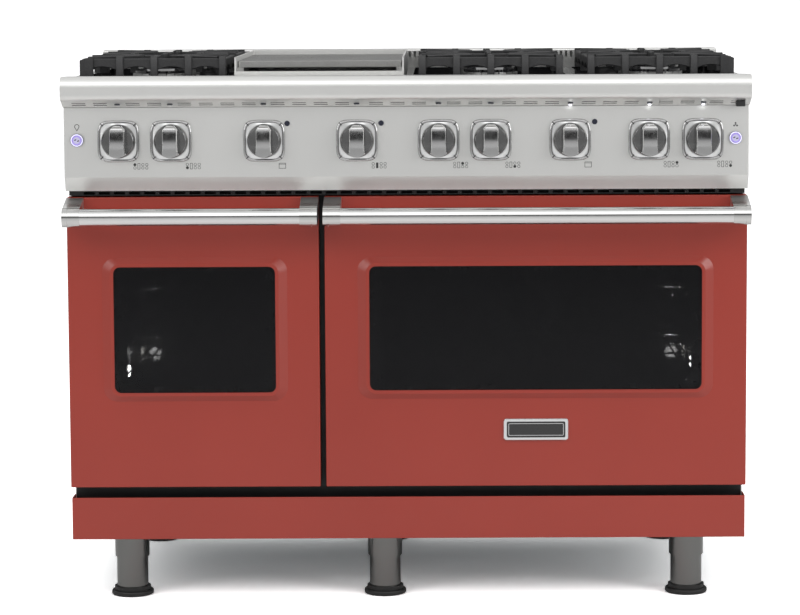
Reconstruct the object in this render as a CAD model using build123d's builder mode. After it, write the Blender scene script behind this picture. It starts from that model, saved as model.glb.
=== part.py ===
"""Freestanding gas range, 48 inches wide, with two ovens, six burners and a griddle.

Millimetres. X runs to the right, Y to the back and Z up. The origin is on the floor, under the middle of
the range's bounding box. Each function makes one kind of sub-part, and the last section writes them all.
"""
from build123d import *

import os

# ---------------------------------------------------------------- driving dimensions
LEDGE_W = 1216.0  # landing ledge and island trim, the widest pieces
PANEL_W = 1214.0  # control panel
BODY_W = 1210.0  # over the side panels
SHEET = 2.0  # folded sheet metal
FIT = 0.4  # running clearance between pieces that move on each other

# Planes along Y, front to back
Y_HANDLE = -348.0  # handle bar's axis
Y_LEDGE = -354.0  # front of the landing ledge
Y_PANEL = -315.0  # control panel's face
Y_DOOR = -292.0  # door and toe-kick face
Y_SKIN_BACK = -258.0  # folded edge of a door's skin
Y_FRAME = -250.0  # front frame's face
Y_DECK = -244.0  # where the cooktop starts
Y_TRIM = 306.0  # where the cooktop ends and the island trim starts
Y_BODY = 352.0  # back panel's outside
Y_BACK = 365.0  # back of the island trim

# Heights
Z_FOOT = 20.0  # top of a levelling foot's pad
Z_SLEEVE = 71.0  # lower end of a leg's fixed sleeve
Z_BASE = 113.0  # underside of the body
Z_KICK = 189.0  # top of the toe-kick
Z_DOOR = (208.0, 732.0)  # oven doors
Z_PANEL = (744.0, 769.0, 892.5)  # control panel's bottom, bend and top
Z_LEDGE = (905.0, 948.0)  # landing ledge's nose
Z_DECK = 943.0  # cooktop flange, where the grates stand
Z_PLATE = (959.0, 970.5)  # griddle plate
Z_TOP = 979.0  # island trim
Z_GRATE = 980.0  # top of the grates' posts, the highest point

# Oven doors: outer span, window span and window heights of each
DOORS = {
    "left": {"x": (-607.5, -157.7), "glass_x": (-525.0, -236.0), "glass_z": (380.5, 607.0)},
    "right": {"x": (-147.7, 607.5), "glass_x": (-68.0, 526.5), "glass_z": (383.5, 607.0)},
}
SURROUND = (22.0, 17.0)  # raised window surround beyond the glass, sideways and up
SURROUND_RISE = 8.0
HINGE_Y = -266.0  # door pivot
HINGE_Z = 221.0
HINGE_INSET = 42.0  # hinge lug from a door's end
PIN_D = 8.0
LUG_R = 9.0
LUG_T = 8.0
NOTCH_W = 16.0  # clearance notch for a lug
NOTCH_GAP = 1.5
CHEEK_T = 4.0  # hinge cheeks beside each notch
HANDLE_Z = 700.0
HANDLE_D = 31.0
HANDLE_WALL = 2.5
FERRULE_D = 34.0
BRACKET_W = 31.0
BADGE_Z = 311.0
BADGE = (116.0, 39.0)
BADGE_RIM = 5.0

# Ovens: cavity spans
CAVITY_Z = (265.0, 675.0)
CAVITY_Y = (-247.0, 231.0)
CAVITIES = {"left": (-547.5, -217.5), "right": (-90.0, 550.0)}
BAKE_Z = 240.0  # axis of the bake burner's tubes
BROIL_T = 24.0
RACK_LEVELS = [320.0, 367.5, 415.0, 462.5, 510.0, 557.5]  # tops of the pressed rack guides
RACKS = {"lower": RACK_LEVELS[2], "upper": RACK_LEVELS[4]}
RIB = 7.0
RIB_Y = (-215.0, 228.0)
RACK_ROD = 6.0
RACK_WIRE = 3.4
RACK_WIRES = {"left": 15, "right": 29}
RACK_Y = (-185.0, 225.0)

# Control panel's fittings
KNOB_Z = 833.0
KNOB_X = {
    "left_rear": -510.0,
    "left_front": -417.0,
    "left_oven": -252.0,
    "griddle": -87.5,
    "centre_rear": 57.0,
    "centre_front": 149.5,
    "right_oven": 290.0,
    "right_rear": 430.0,
    "right_front": 525.0,
}
KNOB_D = 58.7
KNOB_Y = (Y_PANEL - 2.0, Y_PANEL - 13.0, Y_PANEL - 35.0)  # skirt's back, skirt's front and grip's front
BEZEL_W = 74.4
STEM_D = 6.4
STEM_END = Y_PANEL - 19.0
VALVE_Y = (-244.0, -212.0)
BUTTONS = {"oven_light": -583.5, "convection": 583.0}
BUTTON_Z = 835.0
BUTTON_D = 17.0
BUTTON_RING_D = 23.0
INDICATORS = [(-211.0, 863.5), (-44.7, 863.5), (333.5, 864.5)]
INDICATOR_D = 9.6
VENT_PITCH = 38.0  # slots in the ledge's slanted strip
VENT_SLOT = (25.0, 3.4)
VENT_ROW = 4.2
LAMP = (10.0, 4.6)  # lens of a lamp over a knob

# Cooktop: burner sections are SECTION wide, two burners deep
BURNER_X = {"left": -457.0, "centre": 152.0, "right": 457.0}
BURNER_Y = {"front": -76.5, "rear": 178.5}
GRATE_W = 270.0
GRATE_L = 254.0
PAN_X = [(-602.5, -311.0), (-3.0, 304.0), (304.5, 602.5)]
PAN_DEEP = 22.0
PAN_RIM = 14.0
CAP_D = 96.0
POST = 13.0
POST_PITCH = 62.0
FINGER_W = 8.5
GRIDDLE_X = (-310.0, -5.0)
GRIDDLE_Y = (-226.0, 302.0)
PLATE_Y = (-186.0, 262.0)
LEDGE_FALL = 2.0  # the landing ledge's top falls this much towards the cooktop

# Convection fan, in the right oven's back wall
FAN_X = 230.0
FAN_Z = 470.0
FAN_CHAMBER_D = 190.0
FAN_CHAMBER_Y = 268.0
FAN_D = 150.0
FAN_Y = (238.0, 258.0)
SHAFT_D = 8.0
SHAFT_END = 296.0
MOTOR_Y = (280.0, 330.0)

# Legs
LEG_POINTS = [(x, y) for y in (-224.0, 300.0) for x in (-506.0, -44.0, 506.0)]
SLEEVE_D = 62.7
LEG_STEM_D = 57.0
FOOT_D = 76.6

# Gas pipe
PIPE_D = 22.0
INLET_D = 21.3  # half-inch taper pipe thread
INLET_BORE = 12.7
INLET = (540.0, 180.0)  # X and Z of the gas inlet
INLET_Y = (300.0, 336.0, 362.0)  # elbow's front, elbow's back and the thread's end
SUPPLY_HOLE = (-480.0, 180.0)  # X and Z of the electric supply's entry

os.makedirs("parts", exist_ok=True)


# ---------------------------------------------------------------- helpers used inside a part
def middle(span):
    return (span[0] + span[1]) / 2


def length(span):
    return span[1] - span[0]


def grown(span, amount):
    return (span[0] - amount, span[1] + amount)


def block(x, y, z, mode=Mode.ADD):
    """Box between three spans, joined to the part being built."""
    with Locations((middle(x), middle(y), middle(z))):
        Box(length(x), length(y), length(z), mode=mode)


def rod(start, end, diameter, mode=Mode.ADD):
    """Round bar from one point to another, joined to the part being built."""
    run = Vector(*end) - Vector(*start)
    with Locations(Plane(origin=start, z_dir=run)):
        Cylinder(diameter / 2, run.length, align=(Align.CENTER, Align.CENTER, Align.MIN), mode=mode)


def front_plane(y):
    """Plane at depth y that faces the front: sketch X is X, sketch Y is Z."""
    return Plane.XZ.offset(-y)


def write(piece, name):
    piece.part.label = name
    export_step(piece.part, f"parts/{name}.step")


# ---------------------------------------------------------------- body
def make_side_panels():
    """Stainless side sheets, turned in at the back, that rise beside the cooktop to its flange."""
    flange = 18.0
    trim_z = Z_LEDGE[0] - 6
    with BuildPart() as side_panels:
        for side in (-1, 1):
            outer = side * BODY_W / 2
            skin = sorted((outer, outer - side * SHEET))
            turned = sorted((outer, outer - side * flange))
            block(skin, (Y_FRAME + 3, Y_BODY), (Z_BASE, trim_z))
            block(skin, (Y_DECK + 0.5, Y_TRIM - 0.5), (trim_z, Z_DECK))
            block(turned, (Y_BODY - SHEET, Y_BODY), (Z_BASE, trim_z))
        edges = side_panels.edges().filter_by(Axis.Z).group_by(Axis.Y)[-1]
        fillet(edges.filter_by(lambda e: abs(e.center().X) > BODY_W / 2 - 1), 1.5)
    return side_panels


def make_back_panel():
    """Galvanized back with cooling louvres and holes for the gas inlet and the supply lead's gland."""
    x = (-BODY_W / 2 + 20, BODY_W / 2 - 20)
    y = (Y_BODY - 2 * SHEET - 0.1, Y_BODY - SHEET - 0.1)
    louvre_heights = (240, 800)
    with BuildPart() as back_panel:
        block(x, y, (Z_BASE + SHEET, Z_LEDGE[0] - 8))
        with BuildSketch(front_plane(y[0])):
            with Locations(*[(0, z) for z in louvre_heights]):
                with GridLocations(80, 16, 12, 3):
                    SlotOverall(60, 6)
            with Locations(INLET):
                Circle(18)
            with Locations(SUPPLY_HOLE):
                Circle(11)
        extrude(amount=-3 * SHEET, mode=Mode.SUBTRACT)
    return back_panel


def make_base_pan():
    """Bottom sheet with a stiffening pad over each leg."""
    pad_r = 22
    pad_t = 4
    with BuildPart() as base_pan:
        block((-BODY_W / 2 + 3, BODY_W / 2 - 3), (Y_FRAME + 4, Y_BODY - 5), (Z_BASE, Z_BASE + SHEET))
        with Locations(*[(x, y, Z_BASE + SHEET) for x, y in LEG_POINTS]):
            Cylinder(pad_r, pad_t, align=(Align.CENTER, Align.CENTER, Align.MIN))
    return base_pan


def make_toe_kick():
    """Painted kick panel, folded back along its bottom and ends, open at the top."""
    x = (-606.0, 606.0)
    with BuildPart() as toe_kick:
        block(x, (Y_DOOR, Y_FRAME), (Z_BASE, Z_KICK))
        front = toe_kick.faces().sort_by(Axis.Y)[0]
        fillet(front.edges(), 1.5)
        inside = (Z_BASE + SHEET, Z_KICK + 1)
        block(grown(x, -SHEET), (Y_DOOR + SHEET, Y_FRAME + 1), inside, Mode.SUBTRACT)
    return toe_kick


def hinge_points(door):
    """X of a door's two hinges."""
    return (door["x"][0] + HINGE_INSET, door["x"][1] - HINGE_INSET)


def make_front_frame():
    """Frame that the doors close against, with both oven mouths, the vent strip and four hinge lugs."""
    plate = (Y_FRAME, Y_FRAME + 3)
    vent_z = (Z_DOOR[1] + 2.5, Z_PANEL[0] - 1)
    with BuildPart() as front_frame:
        block((-603, 603), plate, (Z_BASE + SHEET, Z_LEDGE[0] - 10))
        for cavity in CAVITIES.values():
            block(cavity, grown(plate, 1), CAVITY_Z, Mode.SUBTRACT)
        block((-580, 580), grown(plate, 1), (Z_PANEL[0] + 16, Z_PANEL[2] - 10), Mode.SUBTRACT)
        block((-603, 603), (Y_DOOR + 7, Y_FRAME), vent_z)
        with BuildSketch(front_plane(Y_DOOR + 7)):
            with Locations((0, middle(vent_z))):
                with GridLocations(27, 1, 43, 1):
                    Rectangle(20, 5)
        extrude(amount=-(Y_FRAME - Y_DOOR - 12), mode=Mode.SUBTRACT)
        for x in [x for door in DOORS.values() for x in hinge_points(door)]:
            lug = (x - LUG_T / 2, x + LUG_T / 2)
            block(lug, (HINGE_Y, Y_FRAME), (HINGE_Z - LUG_R, HINGE_Z + LUG_R))
            rod((lug[0], HINGE_Y, HINGE_Z), (lug[1], HINGE_Y, HINGE_Z), 2 * LUG_R)
            rod((lug[0] - 1, HINGE_Y, HINGE_Z), (lug[1] + 1, HINGE_Y, HINGE_Z), PIN_D + 1, Mode.SUBTRACT)
    return front_frame


def make_oven_liner(side):
    """Porcelain oven cavity with pressed rack guides. The right one has the convection fan's chamber."""
    x = CAVITIES[side]
    with BuildPart() as liner:
        block(grown(x, SHEET), (CAVITY_Y[0], CAVITY_Y[1] + SHEET), grown(CAVITY_Z, SHEET))
        block(x, (CAVITY_Y[0] - 1, CAVITY_Y[1]), CAVITY_Z, Mode.SUBTRACT)
        for top in RACK_LEVELS:
            rib_z = (top - 4, top)
            block((x[0], x[0] + RIB), RIB_Y, rib_z)
            block((x[1] - RIB, x[1]), RIB_Y, rib_z)
        if side == "right":
            wall = CAVITY_Y[1]
            rod((FAN_X, wall + SHEET / 2, FAN_Z), (FAN_X, FAN_CHAMBER_Y, FAN_Z), FAN_CHAMBER_D)
            chamber_end = (FAN_X, FAN_CHAMBER_Y - SHEET, FAN_Z)
            rod((FAN_X, wall - 1, FAN_Z), chamber_end, FAN_CHAMBER_D - 2 * SHEET, Mode.SUBTRACT)
            rod(chamber_end, (FAN_X, FAN_CHAMBER_Y + 1, FAN_Z), 14, Mode.SUBTRACT)
    return liner


def make_fan_baffle():
    """Slotted cover over the fan, on two stand-off feet."""
    y = (CAVITY_Y[1] - 4.5, CAVITY_Y[1] - 2.5)
    with BuildPart() as fan_baffle:
        with BuildSketch(front_plane(y[1])):
            with Locations((FAN_X, FAN_Z)):
                RectangleRounded(230, 230, 20)
                with PolarLocations(62, 16):
                    SlotOverall(40, 5, mode=Mode.SUBTRACT)
        extrude(amount=length(y))
        with Locations((FAN_X, y[1], FAN_Z)):
            with GridLocations(206, 1, 2, 1):
                Box(10, 2.5, 10, align=(Align.CENTER, Align.MIN, Align.CENTER))
    return fan_baffle


def make_convection_fan():
    """Bladed wheel on its shaft."""
    front, back = FAN_Y
    blades = 12
    with BuildPart() as convection_fan:
        rod((FAN_X, front - 2, FAN_Z), (FAN_X, SHAFT_END, FAN_Z), SHAFT_D)
        rod((FAN_X, back - 2, FAN_Z), (FAN_X, back, FAN_Z), FAN_D)
        rod((FAN_X, front, FAN_Z), (FAN_X, back, FAN_Z), 26)
        for turn in range(blades):
            angle = turn * 360 / blades
            with BuildSketch(front_plane(back - 1)):
                with Locations(Location((FAN_X, FAN_Z), angle)):
                    with Locations(Location((60, 0), 25)):
                        Rectangle(24, 1.6)
            extrude(amount=back - front - 1)
    return convection_fan


def make_fan_motor():
    """Motor on its strap behind the chamber, with the fan shaft's bore."""
    front, back = MOTOR_Y
    with BuildPart() as fan_motor:
        rod((FAN_X, FAN_CHAMBER_Y, FAN_Z), (FAN_X, front + 2, FAN_Z), 40)
        rod((FAN_X, front, FAN_Z), (FAN_X, back, FAN_Z), 88)
        block((FAN_X - 60, FAN_X + 60), (front + 2, front + 5), (FAN_Z - 12, FAN_Z + 12))
        bore_end = (FAN_X, SHAFT_END + 4, FAN_Z)
        rod((FAN_X, FAN_CHAMBER_Y - 1, FAN_Z), bore_end, SHAFT_D + 1, Mode.SUBTRACT)
    return fan_motor


def make_oven_burners():
    """Tube bake burner under each oven floor and infra-red broil burner under each roof."""
    slot_pitch = 30
    slot_w = 8
    with BuildPart() as oven_burners:
        for x in CAVITIES.values():
            mid = middle(x)
            half = length(x) / 2 - 60
            broil = (mid - half, mid + half)
            for run in (-1, 1):
                tube_x = mid + run * half / 2
                rod((tube_x, -180, BAKE_Z), (tube_x, 200, BAKE_Z), 25)
            block((mid - half / 2, mid + half / 2), (-20, 5), (BAKE_Z - 9, BAKE_Z + 9))
            block(broil, (-150, 150), (CAVITY_Z[1] - BROIL_T, CAVITY_Z[1]))
            for row in range(-4, 5):
                slot_y = (row * slot_pitch - slot_w / 2, row * slot_pitch + slot_w / 2)
                slot_z = (CAVITY_Z[1] - BROIL_T - 1, CAVITY_Z[1] - BROIL_T + 10)
                block(grown(broil, -12), slot_y, slot_z, Mode.SUBTRACT)
    return oven_burners


# ---------------------------------------------------------------- doors
def glass_outline(door, extra):
    """Rounded outline of a door's window, larger by extra on every side."""
    wide = length(door["glass_x"]) + 2 * extra
    high = length(door["glass_z"]) + 2 * extra
    with Locations((middle(door["glass_x"]), middle(door["glass_z"]))):
        RectangleRounded(wide, high, 12 + max(extra, 0))


def surround_outline(door, inset, radius):
    """Outer outline of the raised surround, smaller by inset."""
    wide = length(door["glass_x"]) + 2 * SURROUND[0] - 2 * inset
    high = length(door["glass_z"]) + 2 * SURROUND[1] - 2 * inset
    with Locations((middle(door["glass_x"]), middle(door["glass_z"]))):
        RectangleRounded(wide, high, radius - inset)


def hinge_notches(door):
    """Clearance for the frame's lugs at a door's lower back edge."""
    reach = LUG_R + NOTCH_GAP
    for x in hinge_points(door):
        notch = (x - NOTCH_W / 2, x + NOTCH_W / 2)
        block(notch, (HINGE_Y - reach, Y_FRAME), (Z_DOOR[0] - 2, HINGE_Z + reach), Mode.SUBTRACT)


def make_door_skin(door):
    """Painted outer pan with the raised window surround."""
    x = door["x"]
    rise_y = Y_DOOR - SURROUND_RISE
    with BuildPart() as skin:
        block(x, (Y_DOOR, Y_SKIN_BACK), Z_DOOR)
        fillet(skin.edges().filter_by(Axis.Y), 2.5)
        fillet(skin.faces().sort_by(Axis.Y)[0].edges(), 2)
        with BuildSketch(front_plane(Y_DOOR + 0.5)):
            surround_outline(door, 0, 26)
        with BuildSketch(front_plane(rise_y)):
            glass_outline(door, 6)
        loft()
        block(grown(x, -SHEET), (Y_DOOR + SHEET, Y_SKIN_BACK + 1), grown(Z_DOOR, -SHEET), Mode.SUBTRACT)
        with BuildSketch(front_plane(Y_DOOR + SHEET + 0.1)):
            surround_outline(door, 2.5, 26)
        with BuildSketch(front_plane(rise_y + SHEET)):
            glass_outline(door, 5.5)
        loft(mode=Mode.SUBTRACT)
        with BuildSketch(front_plane(rise_y - 1)):
            glass_outline(door, 0)
        extrude(amount=-10, mode=Mode.SUBTRACT)
        hinge_notches(door)
    return skin


def make_door_liner(door):
    """Inner pan that faces the oven, with the inner window's opening."""
    x = grown(door["x"], -3)
    z = (Z_DOOR[0] + 4, Z_DOOR[1] - 3)
    with BuildPart() as liner:
        block(x, (Y_SKIN_BACK, Y_SKIN_BACK + 2.5), z)
        fillet(liner.edges().filter_by(Axis.Y), 6)
        with BuildSketch(front_plane(Y_SKIN_BACK + 2)):
            with Locations((middle(x), middle(z) + 8)):
                RectangleRounded(length(x) - 60, length(z) - 60, 20)
        with BuildSketch(front_plane(Y_SKIN_BACK + 5)):
            with Locations((middle(x), middle(z) + 8)):
                RectangleRounded(length(x) - 72, length(z) - 72, 16)
        loft()
        with BuildSketch(front_plane(Y_SKIN_BACK - 1)):
            glass_outline(door, -10)
        extrude(amount=-8, mode=Mode.SUBTRACT)
        hinge_notches(door)
    return liner


def make_door_glass(door):
    """Outer and inner panes of a door's window."""
    outer_y = Y_DOOR - SURROUND_RISE + SHEET
    with BuildPart() as glass:
        with BuildSketch(front_plane(outer_y)):
            glass_outline(door, 4.5)
        extrude(amount=-5)
        with BuildSketch(front_plane(Y_SKIN_BACK - 4)):
            glass_outline(door, 2)
        extrude(amount=-4)
    return glass


def make_door_handle(door):
    """Polished handle tube."""
    x = grown(door["x"], -4)
    with BuildPart() as handle:
        rod((x[0], Y_HANDLE, HANDLE_Z), (x[1], Y_HANDLE, HANDLE_Z), HANDLE_D)
        bore = HANDLE_D - 2 * HANDLE_WALL
        rod((x[0] - 1, Y_HANDLE, HANDLE_Z), (x[1] + 1, Y_HANDLE, HANDLE_Z), bore, Mode.SUBTRACT)
    return handle


def make_door_brackets(door):
    """Cast end brackets: a sleeve round the handle tube and an arm back to the door's top corner."""
    radius = FERRULE_D / 2
    collar = 9.0
    groove = (1.5, 0.8)  # width and depth
    left, right = door["x"]
    with BuildPart() as brackets:
        for outside, inward in ((left, 1), (right, -1)):
            end = sorted((outside, outside + inward * BRACKET_W))
            with BuildSketch(Plane.YZ.offset(end[0])):
                with BuildLine():
                    Polyline(
                        (Y_DOOR, Z_DOOR[1] - 1),
                        (Y_HANDLE, HANDLE_Z + radius),
                        (Y_HANDLE, HANDLE_Z - radius),
                        (Y_DOOR, HANDLE_Z - 8),
                        close=True,
                    )
                make_face()
                with Locations((Y_HANDLE, HANDLE_Z)):
                    Circle(radius)
            extrude(amount=BRACKET_W)
            # A shallow groove round the sleeve's front sets off its end collar
            groove_x = sorted((outside + inward * collar, outside + inward * (collar + groove[0])))
            with BuildSketch(Plane.YZ.offset(groove_x[0])):
                with Locations((Y_HANDLE, HANDLE_Z)):
                    Circle(radius + 1)
                    Circle(radius - groove[1], mode=Mode.SUBTRACT)
                with Locations((Y_HANDLE + radius + 0.5, HANDLE_Z)):
                    Rectangle(radius * 2 + 1, 4 * radius, mode=Mode.SUBTRACT)
            extrude(amount=groove[0], mode=Mode.SUBTRACT)
            tube_x = sorted((outside + inward * 3.6, outside + inward * (BRACKET_W + 1)))
            rod((tube_x[0], Y_HANDLE, HANDLE_Z), (tube_x[1], Y_HANDLE, HANDLE_Z), HANDLE_D, Mode.SUBTRACT)
    return brackets


def make_door_hinges(door):
    """Hinge pins with the two cheeks that hold each one inside the door."""
    near = NOTCH_W / 2 + 0.2
    far = near + CHEEK_T
    y = (HINGE_Y - 10, Y_SKIN_BACK)
    top = HINGE_Z + 60
    with BuildPart() as hinges:
        for x in hinge_points(door):
            for side in (-1, 1):
                block(sorted((x + side * near, x + side * far)), y, (Z_DOOR[0] + SHEET, top))
            rod((x - far, HINGE_Y, HINGE_Z), (x + far, HINGE_Y, HINGE_Z), PIN_D)
            block((x - far, x + far), y, (top - 20, top))
    return hinges


def make_badge():
    """Blank name plate: a plain frame round a recessed field."""
    door = DOORS["right"]
    with BuildPart() as badge:
        with BuildSketch(front_plane(Y_DOOR)):
            with Locations((middle(door["x"]), BADGE_Z)):
                RectangleRounded(*BADGE, 5)
        extrude(amount=4)
        chamfer(badge.faces().sort_by(Axis.Y)[0].edges(), 1)
        with BuildSketch(front_plane(Y_DOOR - 2.5)):
            with Locations((middle(door["x"]), BADGE_Z)):
                RectangleRounded(BADGE[0] - 2 * BADGE_RIM, BADGE[1] - 2 * BADGE_RIM, 3)
        extrude(amount=3, mode=Mode.SUBTRACT)
    return badge


# ---------------------------------------------------------------- ovens' racks
def make_rack(side, level):
    """Chromed wire rack that rests on the pressed guides."""
    x = grown(CAVITIES[side], -6)
    z = level + FIT + RACK_ROD / 2
    wires = RACK_WIRES[side]
    front, back = RACK_Y[0] + RACK_ROD / 2, RACK_Y[1] - RACK_ROD / 2
    with BuildPart() as rack:
        with BuildLine(Plane.XY.offset(z)) as loop:
            FilletPolyline((x[0], front), (x[1], front), (x[1], back), (x[0], back), radius=15, close=True)
        with BuildSketch(loop.line ^ 0):
            Circle(RACK_ROD / 2)
        sweep()
        pitch = (length(x) - 2 * RIB) / (wires + 1)
        for wire in range(wires):
            wire_x = x[0] + RIB + pitch * (wire + 1)
            rod((wire_x, front, z), (wire_x, back, z), RACK_WIRE)
        for cross_y in (-60, 90):
            rod((x[0], cross_y, z - 1), (x[1], cross_y, z - 1), RACK_WIRE)
    return rack


# ---------------------------------------------------------------- control panel
def make_control_panel():
    """Folded stainless panel with a bent-back lower lip and holes for stems, buttons and lenses."""
    back = Y_FRAME - 1
    outer = [(Y_PANEL, Z_PANEL[2]), (Y_PANEL, Z_PANEL[1]), (Y_PANEL + 13, Z_PANEL[0])]
    inner = [(Y_PANEL + SHEET, Z_PANEL[2] - SHEET), (Y_PANEL + SHEET, Z_PANEL[1] + 0.5)]
    with BuildPart() as control_panel:
        with BuildSketch(Plane.YZ.offset(-PANEL_W / 2)):
            with BuildLine():
                Polyline(*outer, (back, Z_PANEL[0]), (back, Z_PANEL[2]), close=True)
            make_face()
        extrude(amount=PANEL_W)
        ends = control_panel.edges().filter_by(lambda e: abs(e.center().X) > PANEL_W / 2 - 0.1)
        fillet(ends.filter_by(lambda e: e.center().Y < Y_PANEL + 10), 2)
        with BuildSketch(Plane.YZ.offset(-PANEL_W / 2 + SHEET)):
            with BuildLine():
                Polyline(
                    *inner,
                    (Y_PANEL + 13 + SHEET, Z_PANEL[0] + SHEET),
                    (back + 1, Z_PANEL[0] + SHEET),
                    (back + 1, Z_PANEL[2] - SHEET),
                    close=True,
                )
            make_face()
        extrude(amount=PANEL_W - 2 * SHEET, mode=Mode.SUBTRACT)
        with BuildSketch(front_plane(Y_PANEL)):
            with Locations(*[(x, KNOB_Z) for x in KNOB_X.values()]):
                Circle(7)
            with Locations(*[(x, BUTTON_Z) for x in BUTTONS.values()]):
                Circle(BUTTON_D / 2 + 0.7)
            with Locations(*INDICATORS):
                Circle(INDICATOR_D / 2 - 1)
        extrude(amount=-2 * SHEET, mode=Mode.SUBTRACT)
    return control_panel


def make_knob_bezels():
    """Rounded-square knob surrounds, notched beside each corner."""
    with BuildPart() as knob_bezels:
        for x in KNOB_X.values():
            with BuildSketch(front_plane(Y_PANEL)):
                with Locations((x, KNOB_Z)):
                    RectangleRounded(BEZEL_W, BEZEL_W, 22)
            extrude(amount=6, taper=25)
            with BuildSketch(front_plane(Y_PANEL)):
                with Locations((x, KNOB_Z)):
                    Circle(KNOB_D / 2 + 1.2)
            extrude(amount=7, mode=Mode.SUBTRACT)
            with BuildSketch(front_plane(Y_PANEL - 3)):
                with Locations((x, KNOB_Z)):
                    with PolarLocations(KNOB_D / 2 + 4, 4, start_angle=45):
                        Rectangle(6, 12)
            extrude(amount=5, mode=Mode.SUBTRACT)
    return knob_bezels


def make_knob(x):
    """Pointer knob: a dished skirt with a raised grip that widens downward, bored for the stem."""
    skirt_back, skirt_front, grip_front = KNOB_Y
    low = KNOB_Z - 25
    shoulder = KNOB_Z + 22
    with BuildPart() as knob:
        with BuildSketch(front_plane(skirt_back)):
            with Locations((x, KNOB_Z)):
                Circle(KNOB_D / 2)
        extrude(amount=skirt_back - skirt_front)
        fillet(knob.faces().sort_by(Axis.Y)[0].edges(), 3.5)
        with BuildSketch(front_plane(skirt_front + 1)):
            with BuildLine():
                Polyline((x - 11, shoulder), (x - 13.5, low), (x + 13.5, low), (x + 11, shoulder))
                ThreePointArc((x + 11, shoulder), (x, shoulder + 5.5), (x - 11, shoulder))
            make_face()
        extrude(amount=skirt_front + 1 - grip_front, taper=5)
        fillet(knob.faces().sort_by(Axis.Y)[0].edges(), 1)
        with BuildSketch(front_plane(skirt_back)):
            with Locations((x, KNOB_Z)):
                Circle(STEM_D / 2 + FIT)
        extrude(amount=20, mode=Mode.SUBTRACT)
    return knob


def make_gas_valves():
    """Brass burner valves and oven thermostats on the manifold, each with its stem."""
    with BuildPart() as gas_valves:
        for name, x in KNOB_X.items():
            half = 24 if name.endswith("oven") or name == "griddle" else 17
            block((x - half, x + half), VALVE_Y, (KNOB_Z - half, KNOB_Z + half))
            rod((x, VALVE_Y[0] - 2, KNOB_Z), (x, VALVE_Y[0] - 18, KNOB_Z), 22)
            rod((x, VALVE_Y[0], KNOB_Z), (x, STEM_END, KNOB_Z), STEM_D)
    return gas_valves


def make_gas_manifold():
    """Supply pipe: the inlet at the back, the riser, and the run behind the panel."""
    manifold_y = -200.0
    x, z = INLET
    front, back, end = INLET_Y
    riser_y = (front + back) / 2
    elbow = 22
    route = [
        (x, riser_y, z),
        (x, riser_y, KNOB_Z),
        (x, manifold_y, KNOB_Z),
        (-550, manifold_y, KNOB_Z),
    ]
    with BuildPart() as gas_manifold:
        with BuildLine():
            FilletPolyline(*route, radius=30)
        with BuildSketch(Plane(origin=route[0], z_dir=(0, 0, 1))):
            Circle(PIPE_D / 2)
        sweep()
        block((x - elbow, x + elbow), (front, back), (z - elbow, z + elbow))
        rod((x, back - 6, z), (x, end, z), INLET_D)
        rod((x, front + 10, z), (x, end + 1, z), INLET_BORE, Mode.SUBTRACT)
    return gas_manifold


def make_panel_button(x):
    """Round push button, flush in its lit ring."""
    with BuildPart() as button:
        rod((x, Y_PANEL - 5, BUTTON_Z), (x, Y_PANEL + 14, BUTTON_Z), BUTTON_D)
        fillet(button.faces().sort_by(Axis.Y)[0].edges(), 1)
    return button


def vent_plane():
    """Plane of the ledge's slanted underside: sketch X is X, and it faces down and forward."""
    low = Vector(0, Y_PANEL, Z_PANEL[2] + 0.5)
    high = Vector(0, Y_LEDGE + 12, Z_LEDGE[0])
    slope = high - low
    return Plane(origin=(low + high) * 0.5, x_dir=(1, 0, 0), z_dir=Vector(1, 0, 0).cross(slope))


def make_panel_lenses():
    """Oven indicators, the buttons' lit rings and the lamps under the ledge."""
    lamp_plane = vent_plane()
    with BuildPart() as panel_lenses:
        for x, z in INDICATORS:
            rod((x, Y_PANEL + 3, z), (x, Y_PANEL, z), INDICATOR_D - 2.4)
            rod((x, Y_PANEL, z), (x, Y_PANEL - 1.6, z), INDICATOR_D)
        for x in BUTTONS.values():
            rod((x, Y_PANEL, BUTTON_Z), (x, Y_PANEL - 3.5, BUTTON_Z), BUTTON_RING_D)
            rod((x, Y_PANEL + 1, BUTTON_Z), (x, Y_PANEL - 5, BUTTON_Z), BUTTON_D + 1, Mode.SUBTRACT)
        with BuildSketch(lamp_plane):
            with Locations(*[(x, 0) for x in KNOB_X.values()]):
                SlotOverall(*LAMP)
        extrude(amount=1.5)
    return panel_lenses


# ---------------------------------------------------------------- cooktop
def vent_slots():
    """X of the ledge's vent slots: as many as fit between neighbouring knobs' lamps, evenly spaced."""
    ends = [-LEDGE_W / 2, *sorted(KNOB_X.values()), LEDGE_W / 2]
    slots = []
    for start, stop in zip(ends, ends[1:]):
        count = int((stop - start) / VENT_PITCH)
        first = (start + stop) / 2 - (count - 1) * VENT_PITCH / 2
        slots += [first + n * VENT_PITCH for n in range(count)]
    return slots


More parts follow.
